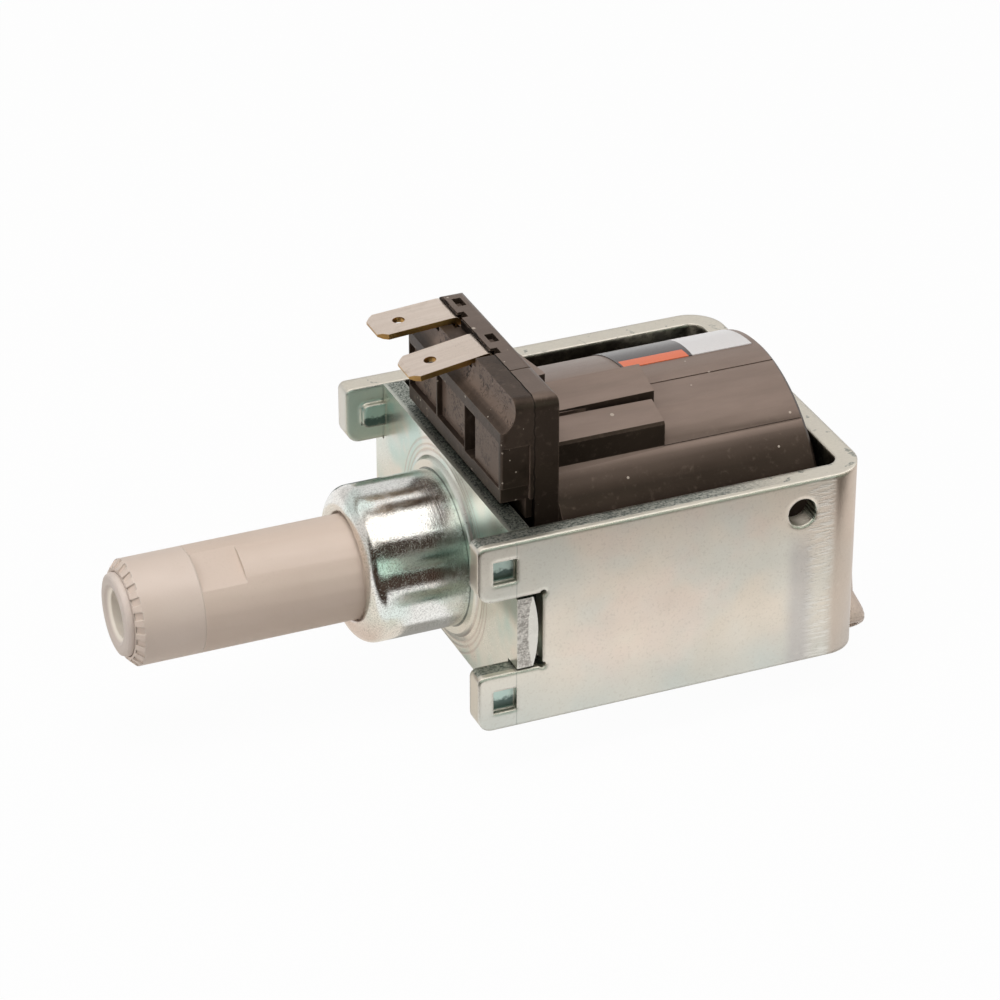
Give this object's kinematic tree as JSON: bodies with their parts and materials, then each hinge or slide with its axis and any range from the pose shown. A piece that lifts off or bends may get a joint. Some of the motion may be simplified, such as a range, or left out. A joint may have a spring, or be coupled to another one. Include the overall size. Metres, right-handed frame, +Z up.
{
  "type": "solenoid solution pump",
  "caption": "Vibrating-piston solenoid pump in a folded steel yoke, with push-in tube outlet, blade terminals and hose barb inlet.",
  "frame": {"origin": "on the pump axis, in the plane of the yoke's prong fronts", "axes": "+X back along the pump axis to the yoke's closed end, -X out of the outlet, +Z up to the terminals, -Y to the near leg"},
  "size_m": [0.1049, 0.0506, 0.0503],
  "materials": {
    "zinc_sheet": "zinc plated, satin with faint blue and pink tints",
    "zinc_plate": "zinc plated, satin with green tints",
    "bright_zinc": "bright zinc, nearly mirror",
    "ivory_plastic": "moulded, fine satin",
    "nose_plastic": "moulded, fine satin",
    "collet_plastic": "moulded, smooth",
    "spring_steel": "bright drawn wire",
    "dark_nylon": "moulded",
    "black_rubber": "satin",
    "valve_rubber": "satin",
    "brass": "turned",
    "magnetic_steel": "turned",
    "natural_nylon": "moulded",
    "piston_steel": "ground and polished",
    "bobbin_plastic": "moulded, glass filled",
    "copper_wire": "enamelled copper wire",
    "coil_plastic": "moulded, satin",
    "cover_plastic": "moulded, satin",
    "tinned_brass": "tin plated brass, satin",
    "label_film": "plain printed film",
    "washer_steel": "zinc plated",
    "inlet_plastic": "moulded, satin"
  },
  "bodies": {
    "pump": {"yoke": "zinc_sheet", "front_plate": "zinc_plate", "front_cup": "bright_zinc", "outlet_body": "ivory_plastic", "fitting_nose": "nose_plastic", "grab_ring": "spring_steel", "backup_ring": "dark_nylon", "tube_seal": "black_rubber", "outlet_spring": "spring_steel", "pump_cylinder": "brass", "body_seal": "black_rubber", "piston_seal": "black_rubber", "seal_washer": "brass", "guide_tube": "ivory_plastic", "front_flux_sleeve": "magnetic_steel", "gap_ring": "natural_nylon", "rear_flux_sleeve": "magnetic_steel", "buffer_spring": "spring_steel", "main_spring": "spring_steel", "bobbin": "bobbin_plastic", "winding": "copper_wire", "coil_moulding": "coil_plastic", "rectifier_diode": "dark_nylon", "terminal_cover": "cover_plastic", "terminals": "tinned_brass", "blank_label": "label_film", "retaining_washer": "washer_steel", "inlet_elbow": "inlet_plastic", "inlet_seal": "black_rubber"},
    "armature": {"armature": "magnetic_steel", "piston": "piston_steel", "suction_spring": "spring_steel"},
    "suction_valve": {"suction_valve": "valve_rubber"},
    "outlet_valve": {"outlet_valve": "valve_rubber"},
    "release_collet": {"release_collet": "collet_plastic"}
  },
  "joints": [
    {"name": "armature_slide", "type": "slide", "parent": "pump", "child": "armature", "axis": [1, 0, 0], "range_m": [0, 0.006], "stiffness_N_per_m": 1500, "springref_m": -0.002, "deforming": ["main_spring", "buffer_spring"]},
    {"name": "suction_valve_slide", "type": "slide", "parent": "armature", "child": "suction_valve", "axis": [-1, 0, 0], "range_m": [0, 0.0007], "stiffness_N_per_m": 40, "springref_m": -0.0005, "deforming": ["suction_spring"]},
    {"name": "outlet_valve_slide", "type": "slide", "parent": "pump", "child": "outlet_valve", "axis": [-1, 0, 0], "range_m": [0, 0.0012], "stiffness_N_per_m": 60, "springref_m": -0.001, "deforming": ["outlet_spring"]},
    {"name": "collet_slide", "type": "slide", "parent": "pump", "child": "release_collet", "axis": [1, 0, 0], "range_m": [0, 0.0007]}
  ]
}
